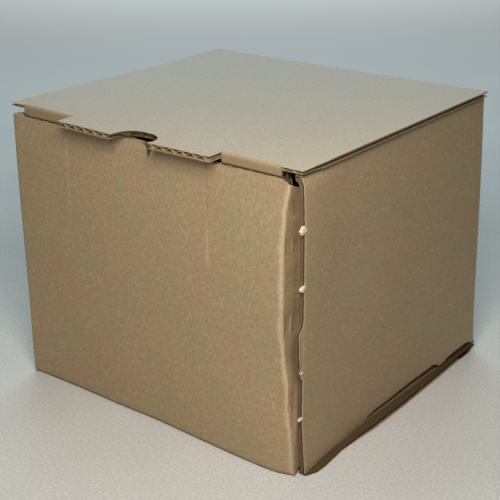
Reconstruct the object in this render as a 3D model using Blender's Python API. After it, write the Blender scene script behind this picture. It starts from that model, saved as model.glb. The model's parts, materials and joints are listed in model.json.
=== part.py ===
"""Folding box: a small roll-end mailer of single-wall corrugated board, standing shut.

World frame: +Z up, the front wall faces -Y, the origin is the middle of the bottom
panel's underside. Every length is in metres.
"""
import math

import bmesh
import bpy
from mathutils import Matrix, Vector

mm = 0.001

# Whole box, outside, with the lid shut
box_width = 186.0 * mm
box_depth = 174.0 * mm
box_height = 156.5 * mm

# Board: two liners with a zigzag sheet between them
board = 3.0 * mm
liner = 0.35 * mm
fluting = 0.35 * mm
flute_pitch = 6.4 * mm
flute_crown = 0.25 * mm
fit_gap = 0.3 * mm
blind_end = 6.0 * mm
overrun = 2.0 * mm
weld_distance = 0.01 * mm

# Lid, its finger lip over the front wall and the thumb notch in the lip
lid_overhang = 1.9 * mm
ear_width = 9.0 * mm
ear_reach = 0.5 * mm
nose_inset = 0.5 * mm
crease_round = 2.4 * mm
lip_width = 99.5 * mm
lip_centre = -0.3 * mm
lip_reach = 10.0 * mm
lip_corner = 1.5 * mm

# Thumb notch in the lip: a flat arch, straighter on its left than on its right
notch_width = 25.6 * mm
notch_centre = -2.8 * mm
notch_depth = 13.4 * mm
notch_bulge = 1.4 * mm
notch_square = 2.6

# Tuck flap, which hangs from the lid's front crease inside the front wall
tuck_depth = 42.0 * mm
tuck_side_gap = 0.9 * mm
tuck_setback = 0.5 * mm
tuck_corner = 12.0 * mm
tuck_lean = math.radians(10.0)
tuck_window_depth = 13.0 * mm
tuck_window_gap = 1.5 * mm

# Front wall and the tongue cut out of it by two slits
front_drop = 6.0 * mm
fold_radius = 6.0 * mm
foot_round = 2.6 * mm
corner_run = 11.3 * mm
corner_drop = 3.0 * mm
corner_notch = 3.4 * mm
tongue_width = 94.0 * mm
tongue_centre = -9.0 * mm
tongue_height = 52.5 * mm
tongue_slit = 0.8 * mm
tongue_lean = math.radians(1.0)

# Thumb tab on the tongue's top edge, between a straight cut and a slanted notch
thumb_tab_width = 23.5 * mm
thumb_tab_centre = -11.2 * mm
thumb_tab_rise = 2.4 * mm
thumb_tab_sag = 0.7 * mm
thumb_tab_corner = 4.0 * mm
left_relief_width = 0.9 * mm
left_relief_depth = 9.0 * mm
right_relief_width = 3.4 * mm
right_relief_depth = 5.2 * mm
right_relief_apex = 1.0 * mm

# Side walls: an outer layer, a spine over the top and an inner layer with tabs
side_setback = 1.5 * mm
foot_slant_height = 5.5 * mm
foot_slant_depth = 2.2 * mm
spine_round = 1.6 * mm
inner_setback = 6.5 * mm
tab_width = 30.0 * mm
tab_spread = 45.0 * mm
tab_corner = 0.8 * mm
end_relief = 1.0 * mm
middle_relief = 0.4 * mm
slot_gap = 0.5 * mm

# Side flaps of the front and back walls, held between the side walls' layers
flap_length = 64.0 * mm
flap_taper = 9.0 * mm

# Facets in a quarter turn of each round edge
arc_steps = 5
corner_steps = 3
notch_steps = 22

# Levels and planes that the panels share
half_width = box_width / 2
half_depth = box_depth / 2
lid_under = box_height - board
spine_top = lid_under - fit_gap
spine_under = spine_top - board
side_top = spine_under - fit_gap
front_top = box_height - front_drop
floor_top = board + fit_gap
flap_top = front_top - corner_drop
outer_inside = half_width - board
flap_outside = outer_inside - fit_gap
flap_inside = flap_outside - board
inner_outside = flap_inside - fit_gap
inner_inside = inner_outside - board
fold_centre_x = flap_outside - fold_radius
fold_centre_y = half_depth - fold_radius
tongue_foot = front_top - tongue_height
nose_y = -(half_depth - nose_inset)
lip_y = -(half_depth + lip_reach)
ear_y = -(half_depth + ear_reach)
crease_end = half_width + lid_overhang - ear_width
tuck_half = inner_inside - tuck_side_gap
tuck_pivot_y = -(half_depth - 2 * board - fit_gap - tuck_setback)

# Kraft board colours, as the photograph shows them
outside_colour = (0.36, 0.26, 0.155, 1.0)
inside_colour = (0.40, 0.29, 0.175, 1.0)
liner_roughness = 0.82

x_axis = Vector((1, 0, 0))
y_axis = Vector((0, 1, 0))
z_axis = Vector((0, 0, 1))


def clear_scene():
    for old in list(bpy.data.objects):
        bpy.data.objects.remove(old, do_unlink=True)


def new_collection(name):
    made = bpy.data.collections.new(name)
    bpy.context.scene.collection.children.link(made)
    return made


def kraft(name, colour):
    material = bpy.data.materials.new(name)
    material.use_nodes = True
    shader = material.node_tree.nodes["Principled BSDF"]
    shader.inputs["Base Color"].default_value = colour
    shader.inputs["Roughness"].default_value = liner_roughness
    shader.inputs["Metallic"].default_value = 0
    return material


def plane_matrix(u_axis, v_axis, origin):
    """The plane that an outline is drawn in, as a placement in the world."""
    normal = u_axis.cross(v_axis)
    turn = Matrix((u_axis, v_axis, normal)).transposed().to_4x4()
    return Matrix.Translation(origin) @ turn


def arc(centre_u, centre_v, radius, start, end, steps=arc_steps):
    points = []
    for step in range(steps + 1):
        angle = math.radians(start + (end - start) * step / steps)
        points.append((centre_u + radius * math.cos(angle), centre_v + radius * math.sin(angle)))
    return points


def rectangle(low_u, high_u, low_v, high_v):
    return [(low_u, low_v), (high_u, low_v), (high_u, high_v), (low_u, high_v)]


def sheet(name, outlines, thickness, placement, home):
    """A flat outline, with any holes, cut from board of this thickness, as a closed mesh."""
    curve = bpy.data.curves.new(name, "CURVE")
    curve.dimensions = "2D"
    curve.fill_mode = "BOTH"
    curve.extrude = thickness / 2
    for outline in outlines:
        spline = curve.splines.new("POLY")
        spline.points.add(len(outline) - 1)
        for point, (u, v) in zip(spline.points, outline):
            point.co = (u, v, 0, 1)
        spline.use_cyclic_u = True
    drawn = bpy.data.objects.new(name + "_outline", curve)
    home.objects.link(drawn)
    drawn.matrix_world = placement
    bpy.context.view_layer.update()
    mesh = bpy.data.meshes.new_from_object(drawn.evaluated_get(bpy.context.evaluated_depsgraph_get()))
    mesh.name = name
    mesh.materials.clear()
    body = bmesh.new()
    body.from_mesh(mesh)
    bmesh.ops.remove_doubles(body, verts=body.verts, dist=weld_distance)
    bmesh.ops.recalc_face_normals(body, faces=body.faces)
    body.to_mesh(mesh)
    body.free()
    solid = bpy.data.objects.new(name, mesh)
    home.objects.link(solid)
    solid.matrix_world = placement
    bpy.data.objects.remove(drawn, do_unlink=True)
    return solid


def cut(target, cutter):
    step = target.modifiers.new("cut_" + cutter.name, "BOOLEAN")
    step.operation = "DIFFERENCE"
    step.solver = "EXACT"
    step.object = cutter
    cutter.hide_render = True
    cutter.display_type = "WIRE"


def tunnel_sections(low, high, mid_depth):
    """Open triangles of the fluting across a panel, between low and high along its width."""
    count = int((high - low) / flute_pitch)
    start = (low + high - count * flute_pitch) / 2
    top = mid_depth + board / 2 - liner
    foot = mid_depth - board / 2 + liner
    sections = []
    for index in range(count):
        left = start + index * flute_pitch
        right = left + flute_pitch
        middle = (left + right) / 2
        sections.append([(left + flute_crown, top), (right - flute_crown, top), (middle, foot + fluting)])
        if index < count - 1:
            sections.append([(middle + flute_crown, foot), (right, top - fluting),
                             (middle + flute_pitch - flute_crown, foot)])
    return sections


def tunnels(target, sections, across, depth_axis, along, begin, end, cutters):
    """Cut flute tunnels, drawn across the board, from begin to end along their own axis."""
    placement = plane_matrix(across, depth_axis, along * ((begin + end) / 2))
    cutter = sheet(target.name + "_tunnels", sections, end - begin, placement, cutters)
    cut(target, cutter)
    return cutter


def edge_outline(corner_u, corner_v, into_u, into_v, radius):
    """The waste outside a rounded corner: into_u and into_v point into the board."""
    centre_u = corner_u + into_u * radius
    centre_v = corner_v + into_v * radius
    points = [(corner_u - into_u * overrun, corner_v - into_v * overrun)]
    points.append((centre_u, corner_v - into_v * overrun))
    for step in range(arc_steps + 1):
        angle = math.pi / 2 * step / arc_steps
        points.append((centre_u - into_u * radius * math.sin(angle),
                       centre_v - into_v * radius * math.cos(angle)))
    points.append((corner_u - into_u * overrun, centre_v))
    return points


def round_edge(target, corner_y, corner_z, into_y, into_z, radius, low_x, high_x, tag, cutters):
    """Round an edge that runs along X from low_x to high_x."""
    outline = edge_outline(corner_y, corner_z, into_y, into_z, radius)
    placement = plane_matrix(y_axis, z_axis, x_axis * ((low_x + high_x) / 2))
    cut(target, sheet(target.name + tag, [outline], high_x - low_x, placement, cutters))


def wrapped_profile(face):
    """A wall seen from above: a flat run with a soft fold at each end, face is -1 or +1 in Y."""
    outer = arc(fold_centre_x, fold_centre_y, fold_radius, 90, 0)
    inner = arc(fold_centre_x, fold_centre_y, fold_radius - board, 0, 90)
    right = outer + inner
    left = [(-x, y) for x, y in reversed(right)]
    return [(x, face * y) for x, y in right + left]


def corner_cuts(wall, face, outline, tag, cutters):
    """Cut the same waste from a wall's two folds, drawn for the right-hand one."""
    depth = fold_radius + overrun * 2
    middle = y_axis * (face * (half_depth - fold_radius / 2))
    placement = plane_matrix(x_axis, z_axis, middle)
    mirrored = [(-x, z) for x, z in outline]
    cut(wall, sheet(wall.name + tag, [outline, mirrored], depth, placement, cutters))


def foot_cuts(wall, face, cutters):
    """Stop the folds short of the bottom panel's corners, and round the foot."""
    waste = rectangle(fold_centre_x + fit_gap, half_width, -overrun, corner_notch)
    corner_cuts(wall, face, waste, "_foot_corners", cutters)
    round_edge(wall, face * half_depth, 0, -face, 1, foot_round,
               -half_width, half_width, "_foot", cutters)


def make_bottom(parts):
    half_x = half_width - board - fit_gap
    half_y = half_depth - board - fit_gap
    outlines = [rectangle(-half_x, half_x, -half_y, half_y)]
    half_slot = tab_width / 2 + slot_gap
    for side in (-1, 1):
        low, high = sorted((side * (inner_inside - fit_gap), side * (inner_outside + fit_gap)))
        for end in (-1, 1):
            middle = end * tab_spread
            outlines.append(rectangle(low, high, middle - half_slot, middle + half_slot))
    return sheet("bottom", outlines, board, plane_matrix(x_axis, y_axis, z_axis * (board / 2)), parts)


def make_front_wall(parts, cutters):
    placement = plane_matrix(x_axis, y_axis, z_axis * (front_top / 2))
    wall = sheet("front_wall", [wrapped_profile(-1)], front_top, placement, parts)
    middle_y = -(half_depth - board / 2)
    above = front_top + overrun
    corner_start = half_width - corner_run
    slope = [(corner_start, front_top), (flap_outside, flap_top), (half_width, flap_top),
             (half_width, above), (corner_start, above)]
    corner_cuts(wall, -1, slope, "_top_corners", cutters)
    foot_cuts(wall, -1, cutters)
    low = tongue_centre - tongue_width / 2 - tongue_slit
    high = tongue_centre + tongue_width / 2 + tongue_slit
    window = rectangle(low, high, tongue_foot, above)
    placement = plane_matrix(x_axis, z_axis, y_axis * middle_y)
    cut(wall, sheet("front_wall_window", [window], board + overrun, placement, cutters))
    sections = tunnel_sections(-fold_centre_x, low - liner, middle_y)
    sections += tunnel_sections(high + liner, fold_centre_x, middle_y)
    tunnels(wall, sections, x_axis, y_axis, z_axis, blind_end, above, cutters)
    return wall


def tongue_outline():
    """The tongue from its foot up, with the thumb tab between two relief cuts in its top edge."""
    left = tongue_centre - tongue_width / 2
    right = tongue_centre + tongue_width / 2
    top = tongue_height
    tab_left = thumb_tab_centre - thumb_tab_width / 2
    tab_right = thumb_tab_centre + thumb_tab_width / 2
    tab_top = top + thumb_tab_rise
    round_left = tab_left + thumb_tab_corner
    round_right = tab_right - thumb_tab_corner
    points = [(right, fit_gap), (right, top), (tab_right + right_relief_width, top)]
    points.append((tab_right + right_relief_apex, top - right_relief_depth))
    points += arc(round_right, tab_top - thumb_tab_sag - thumb_tab_corner, thumb_tab_corner, 0, 90)
    points += arc(round_left, tab_top - thumb_tab_corner, thumb_tab_corner, 90, 180)
    points.append((tab_left, top - left_relief_depth))
    points.append((tab_left - left_relief_width, top - left_relief_depth))
    points += [(tab_left - left_relief_width, top), (left, top), (left, fit_gap)]
    return points


def lean(pieces, shift, pivot, angle):
    """Move the meshes so that their origin is the crease, then lean them about it."""
    for piece in pieces:
        piece.data.transform(Matrix.Translation(shift) @ piece.matrix_world)
        piece.matrix_world = Matrix.Translation(pivot) @ Matrix.Rotation(angle, 4, x_axis)


def make_front_tongue(parts, cutters):
    """The origin lies on the flex line: the wall's outer face, between the slits' lower ends."""
    placement = plane_matrix(x_axis, z_axis, Vector())
    tongue = sheet("front_tongue", [tongue_outline()], board, placement, parts)
    left = tongue_centre - tongue_width / 2
    right = tongue_centre + tongue_width / 2
    above = tongue_height + thumb_tab_rise + overrun
    cutter = tunnels(tongue, tunnel_sections(left, right, 0), x_axis, y_axis, z_axis,
                     blind_end, above, cutters)
    pivot = Vector((0, -half_depth, tongue_foot))
    lean((tongue, cutter), y_axis * (board / 2), pivot, -tongue_lean)
    return tongue


def make_back_wall(parts, cutters):
    placement = plane_matrix(x_axis, y_axis, z_axis * (spine_top / 2))
    wall = sheet("back_wall", [wrapped_profile(1)], spine_top, placement, parts)
    step_x = inner_inside - 2 * fit_gap
    waste = [(step_x, spine_top + overrun), (step_x, side_top), (flap_outside, flap_top),
             (half_width, flap_top), (half_width, spine_top + overrun)]
    corner_cuts(wall, 1, waste, "_top_corners", cutters)
    foot_cuts(wall, 1, cutters)
    return wall


def make_side_flap(side, face, parts, cutters):
    """A side flap of the front (face -1) or back (face +1) wall, tapered at its free end."""
    root = face * (fold_centre_y - fit_gap)
    tip = face * (fold_centre_y - flap_length)
    low = floor_top + fit_gap
    outline = [(root, low), (tip, low + flap_taper), (tip, flap_top - flap_taper), (root, flap_top)]
    label = ("front" if face < 0 else "back") + ("_left" if side < 0 else "_right") + "_flap"
    middle = x_axis * (side * (flap_inside + board / 2))
    flap = sheet(label, [outline], board, plane_matrix(y_axis, z_axis, middle), parts)
    ends = sorted((root, tip))
    sections = tunnel_sections(ends[0] + liner, ends[1] - liner, side * (flap_inside + board / 2))
    tunnels(flap, sections, y_axis, x_axis, z_axis, low + flap_taper, flap_top + overrun, cutters)
    return flap


def make_outer_wall(side, parts, cutters):
    half_y = half_depth - side_setback
    label = ("left" if side < 0 else "right") + "_outer_wall"
    middle = side * (half_width - board / 2)
    outline = rectangle(-half_y, half_y, 0, side_top)
    wall = sheet(label, [outline], board, plane_matrix(y_axis, z_axis, x_axis * middle), parts)
    slant = [(side * half_width, foot_slant_height),
             (side * (half_width - foot_slant_depth), 0),
             (side * (half_width - foot_slant_depth), -overrun),
             (side * (half_width + overrun), -overrun),
             (side * (half_width + overrun), foot_slant_height)]
    placement = plane_matrix(x_axis, z_axis, Vector())
    cut(wall, sheet(label + "_foot", [slant], box_depth, placement, cutters))
    sections = tunnel_sections(blind_end, side_top - liner, middle)
    tunnels(wall, sections, z_axis, x_axis, y_axis, -half_depth, half_depth, cutters)
    return wall


def make_spine(side, parts):
    """The strip over the top of a side wall, between its two creases."""
    half_y = half_depth - side_setback
    label = ("left" if side < 0 else "right") + "_spine"
    outline = [(inner_inside, spine_under), (half_width, spine_under)]
    outline += arc(half_width - spine_round, spine_top - spine_round, spine_round, 0, 90)
    outline += arc(inner_inside + spine_round, spine_top - spine_round, spine_round, 90, 180)
    middle_z = spine_under + board / 2
    holes = tunnel_sections(inner_inside + liner, half_width - liner, middle_z)
    outlines = [[(side * x, z) for x, z in points] for points in [outline] + holes]
    return sheet(label, outlines, half_y * 2, plane_matrix(x_axis, z_axis, Vector()), parts)


def make_inner_wall(side, parts, cutters):
    """The rolled-in layer, whose two tabs stand in the bottom panel's slots."""
    half_y = half_depth - inner_setback
    label = ("left" if side < 0 else "right") + "_inner_wall"
    middle = side * (inner_inside + board / 2)
    tab_foot = fit_gap
    outer = tab_spread + tab_width / 2
    inner = tab_spread - tab_width / 2
    half = [(inner, floor_top + middle_relief)]
    half += arc(inner + tab_corner, tab_foot + tab_corner, tab_corner, 180, 270, corner_steps)
    half += arc(outer - tab_corner, tab_foot + tab_corner, tab_corner, 270, 360, corner_steps)
    half += [(outer, floor_top), (half_y, floor_top + end_relief), (half_y, side_top)]
    outline = half + [(-y, z) for y, z in reversed(half)]
    wall = sheet(label, [outline], board, plane_matrix(y_axis, z_axis, x_axis * middle), parts)
    sections = tunnel_sections(floor_top + end_relief + liner, side_top - liner, middle)
    tunnels(wall, sections, z_axis, x_axis, y_axis, -half_depth, half_depth, cutters)
    return wall


def notch_outline(base_y):
    """The thumb notch from its right end to its left: a flat arch whose right end bulges out."""
    points = []
    for step in range(notch_steps + 1):
        angle = math.pi * step / notch_steps
        across = math.cos(angle)
        rise = math.sin(angle)
        u = math.copysign(abs(across) ** (2 / notch_square), across) * notch_width / 2
        v = rise ** (2 / notch_square)
        bulge = notch_bulge * max(across, 0) * math.sin(math.pi * v)
        points.append((notch_centre + u + bulge, base_y + notch_depth * v))
    return points


def lid_outline():
    """The lid from above, drawn from its hinge crease: y is 0 at the back and runs forward below 0."""
    side = half_width + lid_overhang
    ear = ear_y - half_depth
    nose = nose_y - half_depth
    tip = lip_y - half_depth
    lip_left = lip_centre - lip_width / 2
    lip_right = lip_centre + lip_width / 2
    points = [(side, 0), (side, ear), (crease_end, ear), (crease_end, nose), (lip_right, nose)]
    points += arc(lip_right - lip_corner, tip + lip_corner, lip_corner, 0, -90, corner_steps)
    points += notch_outline(tip)
    points += arc(lip_left + lip_corner, tip + lip_corner, lip_corner, 270, 180, corner_steps)
    points += [(lip_left, nose), (-crease_end, nose), (-crease_end, ear), (-side, ear), (-side, 0)]
    return points


def make_lid(parts, cutters):
    """The origin lies on the hinge crease, at the lid's upper back edge."""
    hinge = Vector((0, half_depth, box_height))
    middle_z = box_height - board / 2
    placement = plane_matrix(x_axis, y_axis, Vector((0, half_depth, middle_z)))
    lid = sheet("lid", [lid_outline()], board, placement, parts)
    side = half_width + lid_overhang
    lip_left = lip_centre - lip_width / 2
    lip_right = lip_centre + lip_width / 2
    sections = tunnel_sections(lip_left, lip_right, middle_z)
    sections += tunnel_sections(-side, -crease_end, middle_z)
    sections += tunnel_sections(crease_end, side, middle_z)
    tunnels(lid, sections, x_axis, z_axis, y_axis, lip_y - overrun, half_depth - blind_end, cutters)
    round_edge(lid, half_depth, box_height, -1, -1, crease_round, -side - overrun, side + overrun,
               "_hinge_edge", cutters)
    round_edge(lid, nose_y, box_height, 1, -1, crease_round, -crease_end, lip_left, "_left_nose", cutters)
    round_edge(lid, nose_y, box_height, 1, -1, crease_round, lip_right, crease_end, "_right_nose", cutters)
    lid.data.transform(Matrix.Translation(-z_axis * (board / 2)))
    lid.matrix_world = Matrix.Translation(hinge)
    return lid


def make_tuck_flap(parts, cutters):
    """The origin lies on the lid's front crease, at the flap's upper inner edge."""
    window_left = lip_centre - lip_width / 2 - tuck_window_gap
    window_right = lip_centre + lip_width / 2 + tuck_window_gap
    foot = -tuck_depth
    round_x = tuck_half - tuck_corner
    points = arc(round_x, foot + tuck_corner, tuck_corner, 270, 360)
    points += [(tuck_half, 0), (window_right, 0), (window_right, -tuck_window_depth)]
    points += [(window_left, -tuck_window_depth), (window_left, 0), (-tuck_half, 0)]
    points += arc(-round_x, foot + tuck_corner, tuck_corner, 180, 270)
    flap = sheet("tuck_flap", [points], board, plane_matrix(x_axis, z_axis, Vector()), parts)
    half_fluted = tuck_half - tuck_corner / 2
    cutter = tunnels(flap, tunnel_sections(-half_fluted, half_fluted, 0), x_axis, y_axis, z_axis,
                     foot - overrun, -blind_end, cutters)
    pivot = Vector((0, tuck_pivot_y, spine_top))
    lean((flap, cutter), y_axis * -(board / 2), pivot, tuck_lean)
    return flap


def hang_on(child, parent):
    """Parent a piece without moving it."""
    bpy.context.view_layer.update()
    placed = child.matrix_world.copy()
    child.parent = parent
    child.matrix_parent_inverse = parent.matrix_world.inverted()
    child.matrix_world = placed


def main():
    clear_scene()
    parts = new_collection("folding_box")
    cutters = new_collection("folding_box_cutters")

    bottom = make_bottom(parts)
    front_wall = make_front_wall(parts, cutters)
    front_tongue = make_front_tongue(parts, cutters)
    back_wall = make_back_wall(parts, cutters)
    lid = make_lid(parts, cutters)
    tuck_flap = make_tuck_flap(parts, cutters)
    outer_pieces = [bottom, front_wall, front_tongue, back_wall, lid, tuck_flap]
    inner_pieces = []
    for side in (-1, 1):
        outer_pieces.append(make_outer_wall(side, parts, cutters))
        outer_pieces.append(make_spine(side, parts))
        inner_pieces.append(make_inner_wall(side, parts, cutters))
        for face in (-1, 1):
            inner_pieces.append(make_side_flap(side, face, parts, cutters))
    for pieces, colour in ((outer_pieces, outside_colour), (inner_pieces, inside_colour)):
        for piece in pieces:
            piece.data.materials.append(kraft(piece.name + "_board", colour))

    hang_on(front_tongue, front_wall)
    hang_on(tuck_flap, lid)
    hang_on(lid, back_wall)
    bpy.context.view_layer.update()
    for piece in parts.objects:
        print(piece.name, [round(side / mm, 1) for side in piece.dimensions])


main()
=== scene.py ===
import json
import math

import bmesh
import bpy
import numpy as np
from mathutils import Matrix, Vector, noise


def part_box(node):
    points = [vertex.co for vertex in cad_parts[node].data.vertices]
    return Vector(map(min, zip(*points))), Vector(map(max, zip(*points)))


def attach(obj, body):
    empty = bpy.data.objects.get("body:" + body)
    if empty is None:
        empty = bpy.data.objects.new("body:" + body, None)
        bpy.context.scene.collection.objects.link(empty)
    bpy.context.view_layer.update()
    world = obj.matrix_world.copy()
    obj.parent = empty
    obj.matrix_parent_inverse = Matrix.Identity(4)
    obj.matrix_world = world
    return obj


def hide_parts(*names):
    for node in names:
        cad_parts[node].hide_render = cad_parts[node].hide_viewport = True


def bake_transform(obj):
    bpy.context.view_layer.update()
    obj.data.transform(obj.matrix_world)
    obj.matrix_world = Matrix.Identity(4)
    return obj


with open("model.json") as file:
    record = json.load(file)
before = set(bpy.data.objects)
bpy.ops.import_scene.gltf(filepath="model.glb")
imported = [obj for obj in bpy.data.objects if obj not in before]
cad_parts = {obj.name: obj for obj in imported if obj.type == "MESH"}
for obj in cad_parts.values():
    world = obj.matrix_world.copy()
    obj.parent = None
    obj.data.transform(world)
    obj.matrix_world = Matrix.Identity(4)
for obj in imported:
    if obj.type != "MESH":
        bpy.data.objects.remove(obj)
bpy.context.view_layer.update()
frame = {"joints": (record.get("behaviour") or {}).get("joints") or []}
perMetre = 1000.0
tiny = 1e-6


def nodeBox(name):
    low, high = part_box(name)
    return low * perMetre, high * perMetre


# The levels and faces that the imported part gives, in millimetres
size = {
    "frontFace": nodeBox("front_wall")[0].y,
    "backFace": nodeBox("back_wall")[1].y,
    "sideFace": nodeBox("right_outer_wall")[1].x,
    "sideFront": nodeBox("right_outer_wall")[0].y,
    "spineTop": nodeBox("right_spine")[1].z,
    "innerFace": nodeBox("right_inner_wall")[0].x,
    "innerFront": nodeBox("right_inner_wall")[0].y,
    "flapFace": nodeBox("front_wall")[1].x,
    "flapEnd": nodeBox("front_right_flap")[1].y,
    "flapTop": nodeBox("front_right_flap")[1].z,
    "frontTop": nodeBox("front_wall")[1].z,
    "lidTop": nodeBox("lid")[1].z,
    "lidSide": nodeBox("lid")[1].x,
    "lipTip": nodeBox("lid")[0].y,
    "thumbTop": nodeBox("front_tongue")[1].z,
    "tuckFoot": nodeBox("tuck_flap")[0].z,
    "tuckSide": nodeBox("tuck_flap")[1].x,
    "bottomX": nodeBox("bottom")[1].x,
    "bottomY": nodeBox("bottom")[1].y,
    "thick": nodeBox("bottom")[1].z,
}
thick = size["thick"]
hinge = {joint["name"]: Vector(joint["pos_m"]) * perMetre for joint in frame["joints"]}

board = {
    "liner": 0.38,
    "medium": 0.28,
    "pitch": 6.4,
    "waveSteps": 12,
    "gridStep": 3.0,
    "longStep": 25.0,
    "lineGap": 0.05,
    "margin": 1.0,
    "cutterReach": 2.0,
    "weld": 0.001,
    "gap": 0.01,
    "nearly": 0.005,
    # Depths that end the outer face, the outer liner's side and the outer liner
    "face": 0.1,
    "outerSide": 1.0,
    "underLiner": 0.5,
    "rag": 0.16,
    "ragScales": ((0.33, 7.3), (1.3, 3.1)),
    "ragFine": 0.5,
    "ragShift": 9.0,
    "ragReach": 0.02,
    "seedStep": 0.37,
    "seamReach": 0.05,
    "crushed": (1.25, 2.45),
    "crushStep": 0.3,
    "crushAhead": 0.35,
    "minimumInner": 0.3,
    "leastDepth": 0.1,
    "squeezeShare": 0.25,
    "sharpAngle": 35.0,
}
slots = {"outer": 0, "inner": 1, "medium": 2, "cut": 3}

kraft = {
    "light": (0.44, 0.322, 0.180),
    "dark": (0.36, 0.262, 0.142),
    "red": (0.43, 0.275, 0.155),
    "green": (0.37, 0.300, 0.160),
    "fibre": (0.62, 0.49, 0.32),
    "speck": (0.16, 0.105, 0.058),
    # Painted shade: the dark brown mixed in wherever a board's shade is painted
    "paintedShade": (0.100, 0.062, 0.032),
    "cut": (0.50, 0.375, 0.235),
    "medium": (0.42, 0.30, 0.175),
    "roughness": 0.55,
}

front = {
    "footRadius": 3.2,
    "footInset": 0.9,
    "footEdge": 0.35,
    "footStep": 0.5,
    "footFade": (-0.8, 1.0),
    "footPress": 0.97,
    "footRun": 2.6,
    "cornerStart": 81.7,
    "cornerNotch": 3.4,
    "cornerDrop": 4.2,
    "bulgeTop": (8.0, 3.0, 0.2),
    # Painted shade in the wall's top right corner, inside the outer face
    "topShade": 0.95,
    "topDepth": 0.4,
    "flapTaper": 9.0,
    "windowFoot": 93.0,
    "leftSlit": 0.10,
    "rightSlit": ((150.5, 1.0), (145, 0.5), (140, 0.9), (134, 0.5), (129, 0.8), (122, 0.10), (93, 0.10)),
    "leftLines": (0.3, 0.9, 1.8),
    "rightLines": (0.9, 1.5, 2.4),
    # Painted highlights along the slits, standing for their lit cut faces
    "slitHighlight": 0.75,
    "slitWidth": 0.7,
    "slitFade": (4.0, 6.0),
    "leftPatches": (0.55, 0.45, 0.7, 0.23, 1.0),
    "rightFaded": 0.6,
    "rightFade": (112, 124),
    "bow": 0.5,
    # Painted shade on the corner fold's facet and a painted highlight along its ridge
    "creaseShade": 0.32,
    "darkShares": (0.12, 0.7),
    "creaseLight": 0.05,
    "creaseHighlight": 1.2,
    "creaseRagged": (0.35, 0.47, 0.19, 2.0),
    "creaseWave": 0.28,
    "ripples": ((1.0, 0.31, 0.0), (0.7, 0.83, 1.0)),
    "rippleFrom": (8, 20),
    "rippleTo": (138, 148),
    "topRise": 1.9,
    "riseFrom": 20.0,
    "riseFoot": 40.0,
    # How far the foot stands out, as (place from left to right, distance)
    "footFlare": ((-94, 1.2), (-58, 1.4), (-27, 2.6), (2, 2.8), (32, 4.8), (60, 6.4), (78, 6.8), (83, 6.4),
                  (88, 4.2), (93, 2.4), (110, 1.6)),
    "flareHeight": 64.0,
    "flareSeam": 0.6,
    "asideFrom": (58, 84),
    "asideTo": (98, 150),
    "slitWander": ((94, 0.0), (124, 0.0), (128, 0.35), (133, -0.25), (138, 0.3), (142, -0.2), (146, 0.25),
                   (150, 0.0)),
    "seed": 3.1,
}
footLow = front["footRadius"] * (1 - math.pi / 2)  # where the rolled foot's edge lies in the flat board

# The folds at the wall's corners: each turn is (from, to, degrees) in shares of the fold's run.
# The lines give where a fold starts, or how far it bulges, as (height, place) pairs.
corner = {
    "plainTurns": ((0.0, 0.14, 84.0), (0.42, 0.58, -44.0), (0.78, 1.0, 50.0)),
    "bulgeTurns": ((0.0, 0.40, 132.0), (0.66, 1.0, -42.0)),
    "foldLine": ((0, 89.2), (16, 89.0), (22, 88.2), (29, 86.6), (46, 84.3), (60, 81.2), (74, 78.9),
                 (92, 79.3), (110, 78.8), (125, 79.8), (134, 81.1), (139, 82.3), (146, 84.3), (150, 85.8)),
    "bulgeLine": ((0, 94.4), (10, 94.8), (22, 95.3), (41, 95.6), (60, 96.2), (95, 96.8), (130, 96.6),
                  (153, 96.0)),
    "backLine": ((0, 88.0), (30, 85.8), (90, 84.6), (130, 85.6), (150, 88.0)),
    "margin": 0.3,
    "tightest": 0.92,
    "gridStep": 0.55,
    "gridReach": (2.5, 6.5),
    "foldSteps": 241,
    "bendSoft": 14,
    "lineSteps": 200,
    "lineSoft": 11,
}


def linked(name, data):
    made = bpy.data.objects.new(name, data)
    bpy.context.scene.collection.objects.link(made)
    return made


def evaluatedMesh(piece):
    bpy.context.view_layer.update()
    return bpy.data.meshes.new_from_object(piece.evaluated_get(bpy.context.evaluated_depsgraph_get()))


def stepped(start, gap, count):
    return [start + gap * step for step in range(count)]


footLines = stepped(-1.7, 0.35, 16)


def tableAt(pairs, place):
    return np.interp(place, *np.array(pairs, float).T)


def spaced(low, high, step, extra=()):
    count = max(2, int(math.ceil((high - low) / step)) + 1)
    lines = list(np.linspace(low, high, count)) + [value for value in extra if low < value < high]
    lines = np.array(sorted(lines))
    return lines[np.concatenate(([True], np.diff(lines) > board["lineGap"]))]


def prism(name, outlines, low, high):
    curve = bpy.data.curves.new(name, "CURVE")
    curve.dimensions = "2D"
    curve.fill_mode = "BOTH"
    curve.extrude = (high - low) / 2
    for outline in outlines:
        spline = curve.splines.new("POLY")
        spline.points.add(len(outline) - 1)
        for point, (u, v) in zip(spline.points, outline):
            point.co = (u, v, 0, 1)
        spline.use_cyclic_u = True
    drawn = linked(name, curve)
    mesh = evaluatedMesh(drawn)
    bpy.data.objects.remove(drawn)
    work = bmesh.new()
    work.from_mesh(mesh)
    bmesh.ops.translate(work, verts=work.verts, vec=(0, 0, (low + high) / 2))
    bmesh.ops.remove_doubles(work, verts=work.verts, dist=board["weld"])
    bmesh.ops.recalc_face_normals(work, faces=work.faces)
    for face in work.faces:
        face.material_index = slots["cut"]
    work.to_mesh(mesh)
    work.free()
    return linked(name, mesh)


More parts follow.
